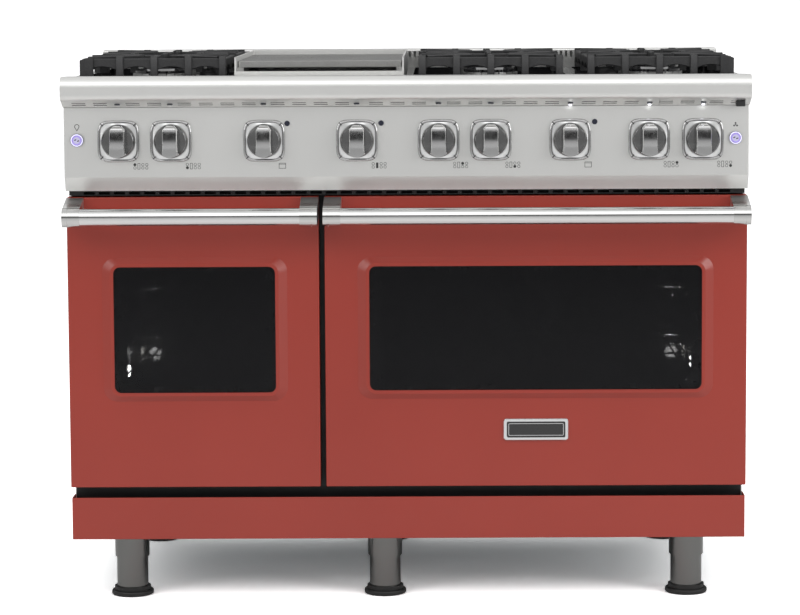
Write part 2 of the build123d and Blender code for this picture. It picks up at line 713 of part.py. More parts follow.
def make_landing_ledge():
    """Bullnosed landing ledge with the slotted, slanted strip over the control panel."""
    low, high = Z_LEDGE
    back = Y_DECK
    back_high = high - LEDGE_FALL
    nose_r, chin_r = 18, 12
    foot = Z_PANEL[2] + 0.5
    foot_y = (Y_PANEL, Y_PANEL + 30)
    strip = vent_plane()
    with BuildPart() as landing_ledge:
        with BuildSketch(Plane.YZ.offset(-LEDGE_W / 2)):
            with BuildLine():
                Line((back, low), (back, back_high))
                Line((back, back_high), (Y_LEDGE + nose_r, high))
                RadiusArc((Y_LEDGE + nose_r, high), (Y_LEDGE, high - nose_r), -nose_r)
                Line((Y_LEDGE, high - nose_r), (Y_LEDGE, low + chin_r))
                RadiusArc((Y_LEDGE, low + chin_r), (Y_LEDGE + chin_r, low), -chin_r)
                Line((Y_LEDGE + chin_r, low), (foot_y[0], foot))
                Line((foot_y[0], foot), (foot_y[1], foot))
                Line((foot_y[1], foot), (back, low))
            make_face()
        extrude(amount=LEDGE_W)
        with BuildSketch(Plane.YZ.offset(-LEDGE_W / 2 + SHEET)):
            with BuildLine():
                Polyline(
                    (back - SHEET, low + SHEET),
                    (back - SHEET, back_high - SHEET),
                    (Y_LEDGE + nose_r, high - SHEET),
                    (Y_LEDGE + 6, high - 8),
                    (Y_LEDGE + SHEET, high - nose_r),
                    (Y_LEDGE + SHEET, low + chin_r),
                    (Y_LEDGE + chin_r, low + SHEET + 1),
                    (foot_y[0] + 1, foot + SHEET),
                    (foot_y[1] - 1, foot + SHEET),
                    close=True,
                )
            make_face()
        extrude(amount=LEDGE_W - 2 * SHEET, mode=Mode.SUBTRACT)
        with BuildSketch(strip):
            for row in (-VENT_ROW, VENT_ROW):
                with Locations(*[(x, row) for x in vent_slots()]):
                    SlotOverall(*VENT_SLOT)
            with Locations(*[(x, 0) for x in KNOB_X.values()]):
                SlotOverall(LAMP[0] - 2, LAMP[1] - 2)
        extrude(amount=-6, mode=Mode.SUBTRACT)
    return landing_ledge


def make_cooktop_pans():
    """Porcelain spill pans with a raised ring under each burner."""
    floor = Z_DECK - PAN_DEEP + SHEET
    with BuildPart() as cooktop_pans:
        for x, span in zip(BURNER_X.values(), PAN_X):
            block(span, (Y_DECK + 0.5, Y_TRIM - 1), (Z_DECK - PAN_DEEP, Z_DECK))
            well = grown(span, -PAN_RIM)
            block(well, (Y_DECK + 36, Y_TRIM - 8), (floor, Z_DECK + 1), Mode.SUBTRACT)
            for y in BURNER_Y.values():
                with Locations((x, y, floor - 1)):
                    Cone(75, 60, 8, align=(Align.CENTER, Align.CENTER, Align.MIN))
        upright = cooktop_pans.edges().filter_by(Axis.Z)
        fillet(upright.filter_by(lambda edge: floor - 1 < edge.center().Z < Z_DECK - 1), 9)
    return cooktop_pans


def burner_points(z):
    return [(x, y, z) for x in BURNER_X.values() for y in BURNER_Y.values()]


def make_burner_heads():
    """Aluminium burner heads with radial flame ports."""
    ports = 20
    with BuildPart() as burner_heads:
        with Locations(*burner_points(Z_DECK - 13)):
            Cylinder(40, 6, align=(Align.CENTER, Align.CENTER, Align.MIN))
        with Locations(*burner_points(Z_DECK - 8)):
            Cylinder(51, 11, align=(Align.CENTER, Align.CENTER, Align.MIN))
        for x, y, z in burner_points(Z_DECK):
            with BuildSketch(Plane(origin=(x, y, z))):
                with PolarLocations(47, ports):
                    Rectangle(12, 2.4)
            extrude(amount=4, mode=Mode.SUBTRACT)
    return burner_heads


def make_burner_caps():
    """Domed porcelain caps that lie on the heads."""
    base = Z_DECK + 3
    with BuildPart() as burner_caps:
        with Locations(*burner_points(base)):
            Cylinder(CAP_D / 2, 5, align=(Align.CENTER, Align.CENTER, Align.MIN))
        with Locations(*burner_points(base + 5)):
            Cone(46, 36, 3.5, align=(Align.CENTER, Align.CENTER, Align.MIN))
    return burner_caps


def make_grate(centre_x, centre_y):
    """Cast grate over one burner: posts on both ends, side rails and fingers towards the burner."""
    half_w, half_l = GRATE_W / 2, GRATE_L / 2 - 0.5
    rail_z = (Z_GRATE - 19, Z_GRATE - 4)
    finger_z = (Z_GRATE - 14, Z_GRATE)
    foot = Z_DECK + 0.3
    with BuildPart() as grate:
        for side in (-1, 1):
            rail_x = sorted((centre_x + side * half_w, centre_x + side * (half_w - 11)))
            block(rail_x, (centre_y - half_l, centre_y + half_l), rail_z)
            rail_y = sorted((centre_y + side * half_l, centre_y + side * (half_l - 10)))
            block((centre_x - half_w, centre_x + half_w), rail_y, rail_z)
            for n in range(-2, 3):
                post_x = centre_x + n * POST_PITCH
                post_y = sorted((centre_y + side * half_l, centre_y + side * (half_l - 13)))
                block((post_x - POST / 2, post_x + POST / 2), post_y, (foot, Z_GRATE))
        for angle in range(0, 360, 45):
            straight = angle % 90 == 0
            inner, outer = (28, half_w - 4) if straight else (52, half_w * 1.36)
            with BuildSketch(Plane.XY.offset(finger_z[0])):
                with Locations(Location((centre_x, centre_y), angle)):
                    with Locations(((inner + outer) / 2, 0)):
                        Rectangle(outer - inner, FINGER_W)
            extrude(amount=length(finger_z), taper=1.5)
        block(
            (centre_x - half_w, centre_x + half_w),
            (centre_y - half_l, centre_y + half_l),
            (Z_DECK, Z_GRATE),
            Mode.INTERSECT,
        )
    return grate


def make_griddle_plate():
    """Thick steel cooking plate."""
    x = grown(GRIDDLE_X, -4)
    with BuildPart() as griddle_plate:
        block(x, PLATE_Y, Z_PLATE)
        fillet(griddle_plate.edges().filter_by(Axis.Z), 4)
        chamfer(griddle_plate.faces().sort_by(Axis.Z)[-1].edges(), 1)
    return griddle_plate


def make_griddle_frame():
    """Stainless splash walls round the griddle, low at the front, with the rails under its plate."""
    x, y = GRIDDLE_X, GRIDDLE_Y
    wall = 3
    rail = 14
    front_top = Z_DECK + 10
    inside = (Z_DECK - 18, Z_TOP)
    with BuildPart() as griddle_frame:
        block(x, y, (Z_DECK - 20, Z_TOP - 1))
        block(grown(x, -wall), grown(y, -wall), inside, Mode.SUBTRACT)
        block(grown(x, 1), (y[0] - 1, y[0] + 2 * wall), (front_top, Z_TOP), Mode.SUBTRACT)
        block(x, (Y_DECK + 0.5, y[0] + 1), (Z_DECK - wall, Z_DECK))
        for rail_x in ((x[0], x[0] + rail), (x[1] - rail, x[1])):
            block(rail_x, (PLATE_Y[0] + 6, y[1] - wall), (inside[0], Z_PLATE[0]))
        block(x, (PLATE_Y[1] - 6, y[1]), (Z_PLATE[0] - wall, Z_PLATE[0]))
    return griddle_frame


def make_grease_tray():
    """Lift-out trough in front of the griddle plate."""
    x = grown(GRIDDLE_X, -4)
    y = (GRIDDLE_Y[0] + 4, PLATE_Y[0] - 2)
    with BuildPart() as grease_tray:
        block(x, y, (Z_DECK - 17.5, 952))
        block(grown(x, -1.5), (y[0] + 1.5, y[1] - 1.5), (Z_DECK - 16, 953), Mode.SUBTRACT)
    return grease_tray


def make_island_trim():
    """Back trim with a row of upright vent slots in its face."""
    x, y = (-LEDGE_W / 2, LEDGE_W / 2), (Y_TRIM, Y_BACK)
    bottom = Z_LEDGE[0] - 6
    with BuildPart() as island_trim:
        block(x, y, (bottom, Z_TOP))
        top = island_trim.edges().filter_by(Axis.X).group_by(Axis.Z)[-1]
        fillet(top, 3)
        block(grown(x, -SHEET), grown(y, -SHEET), (bottom - 1, Z_TOP - SHEET), Mode.SUBTRACT)
        with BuildSketch(front_plane(Y_TRIM)):
            with Locations((0, Z_TOP - 10)):
                with GridLocations(10, 1, 115, 1):
                    Rectangle(4.6, 12)
        extrude(amount=-2 * SHEET, mode=Mode.SUBTRACT)
    return island_trim


# ---------------------------------------------------------------- legs
def make_legs():
    """Fixed leg sleeves with the threaded stems that run out of them."""
    with BuildPart() as legs:
        for x, y in LEG_POINTS:
            rod((x, y, Z_SLEEVE), (x, y, Z_BASE), SLEEVE_D)
            rod((x, y, Z_SLEEVE - 1), (x, y, Z_BASE - 6), LEG_STEM_D + 2 * FIT, Mode.SUBTRACT)
            rod((x, y, Z_FOOT - 4), (x, y, Z_BASE - 6.5), LEG_STEM_D)
    return legs


def make_leg_feet():
    """Round levelling feet with a rolled edge and a smaller step under the stem."""
    with BuildPart() as leg_feet:
        with Locations(*[(x, y, 0) for x, y in LEG_POINTS]):
            Cylinder(FOOT_D / 2, 9, align=(Align.CENTER, Align.CENTER, Align.MIN))
        fillet(leg_feet.edges().filter_by(GeomType.CIRCLE), 3)
        with Locations(*[(x, y, 8) for x, y in LEG_POINTS]):
            Cylinder(33, Z_FOOT - 12, align=(Align.CENTER, Align.CENTER, Align.MIN))
    return leg_feet


# ---------------------------------------------------------------- build and write
write(make_side_panels(), "side_panels")
write(make_back_panel(), "back_panel")
write(make_base_pan(), "base_pan")
write(make_toe_kick(), "toe_kick")
write(make_front_frame(), "front_frame")
for side, door in DOORS.items():
    write(make_oven_liner(side), f"oven_liner_{side}")
    write(make_door_skin(door), f"door_{side}_skin")
    write(make_door_liner(door), f"door_{side}_liner")
    write(make_door_glass(door), f"door_{side}_glass")
    write(make_door_handle(door), f"door_{side}_handle")
    write(make_door_brackets(door), f"door_{side}_brackets")
    write(make_door_hinges(door), f"door_{side}_hinges")
    for place, level in RACKS.items():
        write(make_rack(side, level), f"rack_{side}_{place}")
write(make_badge(), "badge")
write(make_fan_baffle(), "fan_baffle")
write(make_convection_fan(), "convection_fan")
write(make_fan_motor(), "fan_motor")
write(make_oven_burners(), "oven_burners")
write(make_control_panel(), "control_panel")
write(make_knob_bezels(), "knob_bezels")
for place, x in KNOB_X.items():
    write(make_knob(x), f"knob_{place}")
for use, x in BUTTONS.items():
    write(make_panel_button(x), f"button_{use}")
write(make_panel_lenses(), "panel_lenses")
write(make_gas_valves(), "gas_valves")
write(make_gas_manifold(), "gas_manifold")
write(make_landing_ledge(), "landing_ledge")
write(make_cooktop_pans(), "cooktop_pans")
write(make_burner_heads(), "burner_heads")
write(make_burner_caps(), "burner_caps")
for place_x, x in BURNER_X.items():
    for place_y, y in BURNER_Y.items():
        write(make_grate(x, y), f"grate_{place_x}_{place_y}")
write(make_griddle_plate(), "griddle_plate")
write(make_griddle_frame(), "griddle_frame")
write(make_grease_tray(), "grease_tray")
write(make_island_trim(), "island_trim")
write(make_legs(), "legs")
write(make_leg_feet(), "leg_feet")
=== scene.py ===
"""Looks of the freestanding gas range: materials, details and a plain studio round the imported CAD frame.

Metres, in the CAD frame: X right, Y back, Z up. Places come from the CAD nodes' boxes.
"""
import math

import bmesh
import bpy
from mathutils import Matrix, Vector


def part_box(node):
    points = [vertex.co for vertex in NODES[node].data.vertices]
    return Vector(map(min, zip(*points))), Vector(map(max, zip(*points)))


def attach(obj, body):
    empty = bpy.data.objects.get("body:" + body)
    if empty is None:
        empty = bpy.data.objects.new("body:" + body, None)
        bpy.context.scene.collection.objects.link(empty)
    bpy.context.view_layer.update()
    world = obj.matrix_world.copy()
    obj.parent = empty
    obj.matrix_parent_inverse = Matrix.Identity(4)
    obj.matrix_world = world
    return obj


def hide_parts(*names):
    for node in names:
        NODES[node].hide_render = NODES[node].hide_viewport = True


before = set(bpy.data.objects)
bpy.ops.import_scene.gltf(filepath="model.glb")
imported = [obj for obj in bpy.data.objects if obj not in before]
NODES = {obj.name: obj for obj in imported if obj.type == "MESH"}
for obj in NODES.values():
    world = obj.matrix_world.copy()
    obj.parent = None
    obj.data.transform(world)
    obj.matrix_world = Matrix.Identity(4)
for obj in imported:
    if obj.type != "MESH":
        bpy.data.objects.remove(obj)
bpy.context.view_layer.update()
MM = 0.001


# ---------------------------------------------------------------- places read from the frame
def centre(node):
    low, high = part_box(node)
    return (Vector(low) + Vector(high)) / 2


KNOBS = [name for name in NODES if name.startswith("knob_") and name != "knob_bezels"]
GRATES = [name for name in NODES if name.startswith("grate_")]
SIDES = ("left", "right")
PANEL_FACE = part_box("control_panel")[0][1]
DOOR_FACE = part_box("toe_kick")[0][1]
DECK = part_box("cooktop_pans")[1][2]
BEZEL_HALF = (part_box("knob_bezels")[1][2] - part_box("knob_bezels")[0][2]) / 2 / MM  # in mm
BURNERS = [(centre(name).x, centre(name).y) for name in GRATES]
LIT_KNOBS = ["knob_right_oven", "knob_right_rear", "knob_right_front"]
BUTTONS = ["button_oven_light", "button_convection"]
CORNER_POST_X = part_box("grate_right_front")[1][0] - 30 * MM  # posts further out than this are corner posts
POST_PITCH = 62 * MM
CHIN = 12 * MM  # from the ledge's nose back to its sloping underside, and the height that this rises
PRINT = 0.12 * MM  # how far printed marks stand off the panel


# ---------------------------------------------------------------- material helpers
def principled(name, color, **values):
    """New material with a Principled shader whose sockets are set from values."""
    material = bpy.data.materials.new(name)
    material.use_nodes = True
    shader = material.node_tree.nodes["Principled BSDF"]
    shader.inputs["Base Color"].default_value = (*color, 1)
    for key, value in values.items():
        shader.inputs[key.replace("_", " ")].default_value = value
    return material


def nodes_of(material):
    """A material's nodes, its links and its Principled shader."""
    tree = material.node_tree
    return tree.nodes, tree.links, tree.nodes["Principled BSDF"]


def noise(material, scale, stretch=(1, 1, 1), detail=3.0, rough=0.5):
    """Noise texture in the piece's own space, stretched by a factor along each axis."""
    nodes, links, _ = nodes_of(material)
    where = nodes.new("ShaderNodeTexCoord")
    mapping = nodes.new("ShaderNodeMapping")
    mapping.inputs["Scale"].default_value = stretch
    texture = nodes.new("ShaderNodeTexNoise")
    texture.inputs["Scale"].default_value = scale
    texture.inputs["Detail"].default_value = detail
    texture.inputs["Roughness"].default_value = rough
    links.new(where.outputs["Object"], mapping.inputs["Vector"])
    links.new(mapping.outputs["Vector"], texture.inputs["Vector"])
    return texture.outputs["Fac"]


def add_bump(material, height, strength, distance):
    """Bump from a height socket, chained after any bump that is there already."""
    nodes, links, shader = nodes_of(material)
    bump = nodes.new("ShaderNodeBump")
    bump.inputs["Strength"].default_value = strength
    bump.inputs["Distance"].default_value = distance
    links.new(height, bump.inputs["Height"])
    before = shader.inputs["Normal"]
    if before.is_linked:
        links.new(before.links[0].from_socket, bump.inputs["Normal"])
    links.new(bump.outputs["Normal"], shader.inputs["Normal"])


def vary(material, socket, value, low, high):
    """Drives a number socket from a 0 to 1 value, mapped to low and high."""
    nodes, links, shader = nodes_of(material)
    span = nodes.new("ShaderNodeMapRange")
    span.inputs["From Min"].default_value = 0.3
    span.inputs["From Max"].default_value = 0.7
    span.inputs["To Min"].default_value = low
    span.inputs["To Max"].default_value = high
    links.new(value, span.inputs["Value"])
    links.new(span.outputs["Result"], shader.inputs[socket])


def tint(material, value, dark, light, low=0.3, high=0.7):
    """Colours the base between two colours by a 0 to 1 value."""
    nodes, links, shader = nodes_of(material)
    ramp = nodes.new("ShaderNodeValToRGB")
    ramp.color_ramp.elements[0].position = low
    ramp.color_ramp.elements[1].position = high
    ramp.color_ramp.elements[0].color = (*dark, 1)
    ramp.color_ramp.elements[1].color = (*light, 1)
    links.new(value, ramp.inputs["Fac"])
    links.new(ramp.outputs["Color"], shader.inputs["Base Color"])


# ---------------------------------------------------------------- materials
def brushed_steel(name, color, roughness, grain=(1.0, 110.0, 110.0), depth=0.12):
    """Stainless steel brushed along X, or along the axis whose grain is small."""
    steel = principled(name, color, Metallic=1.0, Anisotropic=0.5)
    scratches = noise(steel, 14.0, grain, 6.0, 0.7)
    add_bump(steel, scratches, depth, 0.00006)
    vary(steel, "Roughness", scratches, roughness - 0.03, roughness + 0.04)
    clouds = noise(steel, 2.2, (1, 1, 1), 2.0)
    tint(steel, clouds, tuple(c * 0.97 for c in color), color)
    return steel


def red_powder_coat():
    """Satin red coat with a fine orange peel."""
    red = (0.285, 0.026, 0.013)
    paint = principled("red_powder_coat", red, Roughness=0.42, Coat_Weight=0.25, Coat_Roughness=0.2)
    shade = noise(paint, 3.0)
    tint(paint, shade, (0.275, 0.024, 0.012), (0.300, 0.028, 0.015))
    peel = noise(paint, 900.0, detail=2.0)
    add_bump(paint, peel, 0.12, 0.00012)
    vary(paint, "Roughness", noise(paint, 40.0), 0.32, 0.40)
    return paint


def black_enamel():
    """Glossy black enamel with pale flecks."""
    black = (0.008, 0.008, 0.009)
    enamel = principled("black_enamel", black, Roughness=0.12, Coat_Weight=0.6, Coat_Roughness=0.05)
    add_bump(enamel, noise(enamel, 160.0, detail=2.0), 0.06, 0.0003)
    flecks = noise(enamel, 1500.0, detail=1.0)
    tint(enamel, flecks, black, (0.05, 0.05, 0.055), 0.66, 0.76)
    return enamel


def cast_iron():
    """Matt black enamel over a coarse sand casting."""
    iron = principled("cast_iron", (0.015, 0.015, 0.016), Roughness=0.5, Coat_Weight=0.15, Coat_Roughness=0.35)
    grain = noise(iron, 420.0, detail=5.0, rough=0.65)
    add_bump(iron, grain, 0.55, 0.0004)
    add_bump(iron, noise(iron, 45.0, detail=2.0), 0.25, 0.0010)
    tint(iron, grain, (0.008, 0.008, 0.009), (0.030, 0.030, 0.031))
    vary(iron, "Roughness", noise(iron, 60.0), 0.42, 0.58)
    return iron


def cast_aluminium():
    alu = principled("cast_aluminium", (0.62, 0.62, 0.61), Metallic=1.0, Roughness=0.42)
    add_bump(alu, noise(alu, 700.0, detail=4.0), 0.3, 0.0002)
    vary(alu, "Roughness", noise(alu, 60.0), 0.36, 0.5)
    return alu


def bracket_steel():
    """Steel that is polished at the ferrule, in front, and satin along the arm behind it."""
    steel = principled("bracket_steel", (0.60, 0.60, 0.59), Metallic=1.0, Roughness=0.3)
    nodes, links, _ = nodes_of(steel)
    where = nodes.new("ShaderNodeTexCoord")
    split = nodes.new("ShaderNodeSeparateXYZ")
    links.new(where.outputs["Generated"], split.inputs["Vector"])
    vary(steel, "Roughness", split.outputs["Y"], 0.09, 0.42)
    add_bump(steel, noise(steel, 500.0), 0.08, 0.00008)
    return steel


def chrome():
    plate = principled("polished_chrome", (0.78, 0.78, 0.79), Metallic=1.0, Roughness=0.07)
    vary(plate, "Roughness", noise(plate, 90.0), 0.05, 0.10)
    return plate


def satin_black(name="satin_black", roughness=0.45, color=(0.012, 0.012, 0.013)):
    """Plain satin paint, black unless a color is given."""
    black = principled(name, color, Roughness=roughness)
    add_bump(black, noise(black, 1100.0, detail=2.0), 0.15, 0.00012)
    vary(black, "Roughness", noise(black, 70.0), roughness - 0.05, roughness + 0.06)
    return black


def knob_black():
    """Dark metal of the knobs' skirts."""
    gloss = principled("knob_black", (0.19, 0.19, 0.19), Metallic=0.9, Roughness=0.2)
    vary(gloss, "Roughness", noise(gloss, 120.0), 0.10, 0.17)
    return gloss


def knob_plate():
    """Polished metal of the knobs' grips."""
    plate = principled("knob_plate", (0.62, 0.62, 0.62), Metallic=1.0, Roughness=0.11)
    vary(plate, "Roughness", noise(plate, 120.0), 0.09, 0.14)
    return plate


def brass():
    metal = principled("brass", (0.62, 0.44, 0.17), Metallic=1.0, Roughness=0.3)
    vary(metal, "Roughness", noise(metal, 150.0), 0.25, 0.4)
    return metal


def galvanized():
    """Zinc-coated sheet with a faint spangle."""
    zinc = principled("galvanized", (0.50, 0.52, 0.53), Metallic=1.0, Roughness=0.42)
    spangle = noise(zinc, 55.0, detail=1.0, rough=0.2)
    tint(zinc, spangle, (0.42, 0.44, 0.45), (0.58, 0.60, 0.61))
    vary(zinc, "Roughness", spangle, 0.34, 0.52)
    return zinc


def window_glass():
    """Smoked glass that dims what is behind it."""
    glass = principled("window_glass", (0.006, 0.006, 0.007), Roughness=0.03, IOR=1.5, Alpha=0.52)
    glass.node_tree.nodes["Principled BSDF"].inputs["Specular IOR Level"].default_value = 0.22
    glass.surface_render_method = "BLENDED"
    vary(glass, "Roughness", noise(glass, 14.0), 0.02, 0.045)
    return glass


def glow(name, color, strength):
    """Lens that gives off its own light."""
    lamp = principled(name, color, Roughness=0.3)
    shader = lamp.node_tree.nodes["Principled BSDF"]
    shader.inputs["Emission Color"].default_value = (*color, 1)
    shader.inputs["Emission Strength"].default_value = strength
    add_bump(lamp, noise(lamp, 300.0), 0.05, 0.0002)
    return lamp


def cooking_plate():
    """Griddle steel ground from front to back."""
    plate = principled("cooking_plate", (0.42, 0.42, 0.41), Metallic=1.0, Roughness=0.3)
    scratches = noise(plate, 18.0, (40.0, 1.0, 40.0), 6.0, 0.7)
    add_bump(plate, scratches, 0.3, 0.00008)
    tint(plate, noise(plate, 6.0), (0.36, 0.36, 0.35), (0.46, 0.46, 0.45))
    vary(plate, "Roughness", scratches, 0.24, 0.4)
    return plate


STAINLESS = brushed_steel("brushed_stainless", (0.76, 0.76, 0.745), 0.44)
TUBE = brushed_steel("polished_stainless", (0.70, 0.70, 0.695), 0.12, (1.0, 30.0, 30.0), 0.08)
# Leg steel's dark colour is painted shade: far darker than bare stainless, for the shade on the legs under the
# range.
SHADED_LEG_STEEL = brushed_steel("turned_stainless_painted_shade", (0.17, 0.17, 0.165), 0.20, (4.0, 4.0, 90.0), 0.2)
RED = red_powder_coat()
ENAMEL = black_enamel()
IRON = cast_iron()
ALU = cast_aluminium()
CHROME = chrome()
BEZEL = brushed_steel("bezel_chrome", (0.92, 0.92, 0.92), 0.36, (8.0, 8.0, 8.0), 0.03)
BEAD = principled("bezel_bead", (0.50, 0.50, 0.50), Metallic=1.0, Roughness=0.07)
BRACKET = bracket_steel()
SATIN = satin_black()
RUBBERY = satin_black("foot_black", 0.55, (0.006, 0.006, 0.006))
KNOB = knob_black()
KNOB_FACE = knob_plate()
BRASS = brass()
ZINC = galvanized()
GLASS = window_glass()
PLATE = cooking_plate()
LENS_OFF = principled("lens_smoke", (0.010, 0.012, 0.028), Roughness=0.2, Coat_Weight=0.3)
add_bump(LENS_OFF, noise(LENS_OFF, 200.0), 0.05, 0.0002)
LED = glow("led_white", (0.86, 0.88, 1.0), 4.0)
RING = glow("button_ring", (0.74, 0.72, 0.96), 0.45)
LILAC = glow("button_lilac", (0.30, 0.24, 0.62), 0.35)
FACE = glow("button_face", (0.50, 0.48, 0.66), 0.10)
OVEN_LAMP = glow("oven_lamp", (1.0, 0.97, 0.92), 60.0)
INK = principled("panel_ink", (0.03, 0.03, 0.03), Roughness=0.5)
add_bump(INK, noise(INK, 900.0), 0.1, 0.00005)
# Black of the windows' printed borders, and of the painted shade sheet behind the ledge's slots.
FRIT_AND_PAINTED_SHADE = principled("window_frit_and_painted_shade", (0.006, 0.006, 0.007), Roughness=0.25)
vary(FRIT_AND_PAINTED_SHADE, "Roughness", noise(FRIT_AND_PAINTED_SHADE, 60.0), 0.2, 0.3)
ROPE = satin_black("gasket_rope", 0.8, (0.10, 0.10, 0.095))
CERAMIC = principled("white_ceramic", (0.75, 0.74, 0.72), Roughness=0.35, Coat_Weight=0.4)
add_bump(CERAMIC, noise(CERAMIC, 400.0), 0.08, 0.0002)

FINISH = {
    "side_panels": STAINLESS,
    "back_panel": ZINC,
    "base_pan": ZINC,
    "toe_kick": RED,
    "front_frame": SATIN,
    "oven_liner_left": ENAMEL,
    "oven_liner_right": ENAMEL,
    "badge": CHROME,
    "fan_baffle": ENAMEL,
    "convection_fan": ALU,
    "fan_motor": SATIN,
    "oven_burners": ALU,
    "control_panel": STAINLESS,
    "panel_lenses": LENS_OFF,
    "gas_valves": BRASS,
    "gas_manifold": SATIN,
    "landing_ledge": STAINLESS,
    "cooktop_pans": ENAMEL,
    "burner_heads": ALU,
    "burner_caps": ENAMEL,
    "griddle_plate": PLATE,
    "griddle_frame": STAINLESS,
    "grease_tray": SATIN,
    "island_trim": STAINLESS,
    "legs": SHADED_LEG_STEEL,
    "leg_feet": RUBBERY,
    "skin": RED,
    "liner": ENAMEL,
    "glass": GLASS,
    "handle": TUBE,
    "brackets": BRACKET,
    "hinges": ZINC,
    "rack": CHROME,
    "knob": KNOB,
    "grate": IRON,
    "button": FACE,
}


def finish_node(name, node):
    """Gives a CAD node its material."""
    parts = name.split("_")
    key = name if name in FINISH else next(word for word in (parts[-1], parts[0]) if word in FINISH)
    node.data.materials.clear()
    node.data.materials.append(FINISH[key])


# ---------------------------------------------------------------- mesh helpers
def to_object(name, mesh_builder, material, body, sharp=35):
    """Turns a bmesh into a piece that rides on a body, smooth at edges of less than sharp degrees."""
    bmesh.ops.recalc_face_normals(mesh_builder, faces=mesh_builder.faces)
    mesh = bpy.data.meshes.new(name)
    mesh_builder.to_mesh(mesh)
    mesh_builder.free()
    mesh.materials.append(material)
    mesh.shade_smooth()
    mesh.set_sharp_from_angle(angle=math.radians(sharp))
    piece = bpy.data.objects.new(name, mesh)
    bpy.context.scene.collection.objects.link(piece)
    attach(piece, body)
    return piece


def skin_loops(build, loops, ring=False):
    """Joins rows of points, each as long as the next, into a closed tube, or into a ring without ends."""
    rows = [[build.verts.new(point) for point in loop] for loop in loops]
    count = len(rows[0])
    pairs = list(zip(rows, rows[1:]))
    if ring:
        pairs.append((rows[-1], rows[0]))
    for first, second in pairs:
        for n in range(count):
            build.faces.new((first[n], first[(n + 1) % count], second[(n + 1) % count], second[n]))
    if not ring:
        build.faces.new(rows[0])
        build.faces.new(rows[-1])


def add_block(build, low, high, bevel=0.0, turn=None):
    """Box between two corners with rounded edges, turned about its own middle."""
    low, high = Vector(low), Vector(high)
    place = Matrix.Translation((low + high) / 2) @ (turn or Matrix.Identity(4))
    made = bmesh.ops.create_cube(build, size=1, matrix=place @ Matrix.Diagonal((*(high - low), 1)))
    if bevel:
        edges = list({edge for vert in made["verts"] for edge in vert.link_edges})
        bmesh.ops.bevel(build, geom=edges, offset=bevel, segments=2, profile=0.6, affect="EDGES")


def turns(steps):
    """Angles of a full turn in equal steps."""
    return [2 * math.pi * n / steps for n in range(steps)]


def circle(x, z, radius, steps):
    """Outline points (x, z) of a circle."""
    return [(x + radius * math.cos(a), z + radius * math.sin(a)) for a in turns(steps)]


def at_depth(outline, y):
    """Points of an (x, z) outline at one depth."""
    return [(x, y, z) for x, z in outline]


def in_mm(profile, sign=1):
    """Profile of a turned piece, given in mm, its lengths along the axis times sign."""
    return [(radius * MM, sign * along * MM) for radius, along in profile]


def add_lathe(build, profile, at, axis="Y", steps=40):
    """Turned solid: profile is a list of (radius, distance along the axis) with both ends on a face."""
    loops = []
    for radius, along in profile:
        loop = []
        for a in turns(steps):
            c, s = radius * math.cos(a), radius * math.sin(a)
            offset = {"X": (along, c, s), "Y": (c, along, s), "Z": (c, s, along)}[axis]
            loop.append(Vector(at) + Vector(offset))
        loops.append(loop)
    skin_loops(build, loops)


def rounded_rectangle(middle_x, middle_z, width, height, radius, steps=6):
    """Outline points (x, z) of a rounded rectangle."""
    points = []
    for corner in range(4):
        start = corner * math.pi / 2
        cx = middle_x + (width / 2 - radius) * (1 if corner in (0, 3) else -1)
        cz = middle_z + (height / 2 - radius) * (1 if corner in (0, 1) else -1)
        for n in range(steps + 1):
            a = start + n / steps * math.pi / 2
            points.append((cx + radius * math.cos(a), cz + radius * math.sin(a)))
    return points


def add_frame_ring(build, outer, inner, front, back):
    """Flat ring between two outlines of equal length, from depth front to depth back."""
    loops = [at_depth(outer, front), at_depth(inner, front), at_depth(inner, back), at_depth(outer, back)]
    skin_loops(build, loops, ring=True)


def add_bar(build, start, end, width, top, bottom, arch=0.0, tip=1.0, steps=8):
    """Cast bar along a level line: chamfered section, its underside raised by arch at mid-span."""
    start, end = Vector((*start, 0)), Vector((*end, 0))
    along = (end - start).normalized()
    across = Vector((-along.y, along.x, 0)) * width / 2
    bevel = 1.4 * MM
    loops = []
    for n in range(steps + 1):
        t = n / steps
        place = start.lerp(end, t)
        side = across * (1 + (tip - 1) * t)
        inset = side.normalized() * bevel
        under = bottom + arch * math.sin(math.pi * t)
        section = [
            (-side, top - bevel),
            (-(side - inset), top),
            (side - inset, top),
            (side, top - bevel),
            (side, under + bevel),
            (side - inset, under),
            (-(side - inset), under),
            (-side, under + bevel),
        ]
        loops.append([place + offset + Vector((0, 0, z)) for offset, z in section])
    skin_loops(build, loops)


# ---------------------------------------------------------------- cooktop details
def add_post(build, x, y, inward, foot, top):
    """Post of a grate: it stands proud of the rail, and its outer top edge is bevelled."""
    half, depth, lean, edge = 6.5 * MM, 14 * MM, 5 * MM, 0.9 * MM
    loops = []
    for along, inset in ((-half, edge), (-half + edge, 0), (half - edge, 0), (half, edge)):
        section = [
            (inset, foot + inset),
            (inset, top - lean - inset / 2),
            (0.7 * lean + inset / 2, top - inset),
            (depth - inset, top - inset),
            (depth - inset, foot + inset),
        ]
        loops.append([(x + along, y + inward * deep, z) for deep, z in section])
    skin_loops(build, loops)


def add_corner_post(build, x, y, inward_x, inward_y, foot, top):
    """Wide post at a cooktop corner: cut off across the corner, and its top falls outward."""
    plan = [(0, 9), (9, 0), (25, 0), (25, 11), (11, 25), (0, 25)]
    rows = []
    for inset, lift in ((0.9, 0.0), (0.0, 0.9)):
        rows.append([(max(u, inset), max(v, inset), foot + lift * MM) for u, v in plan])
    for inset, drop in ((0.0, 0.9), (0.9, 0.0)):
        level = top - drop * MM
        rows.append([(max(u, inset), max(v, inset), level - 6.5 * MM * max(0, 1 - u / 22)) for u, v in plan])
    loops = [[(x + inward_x * u * MM, y + inward_y * v * MM, z) for u, v, z in row] for row in rows]
    skin_loops(build, loops)


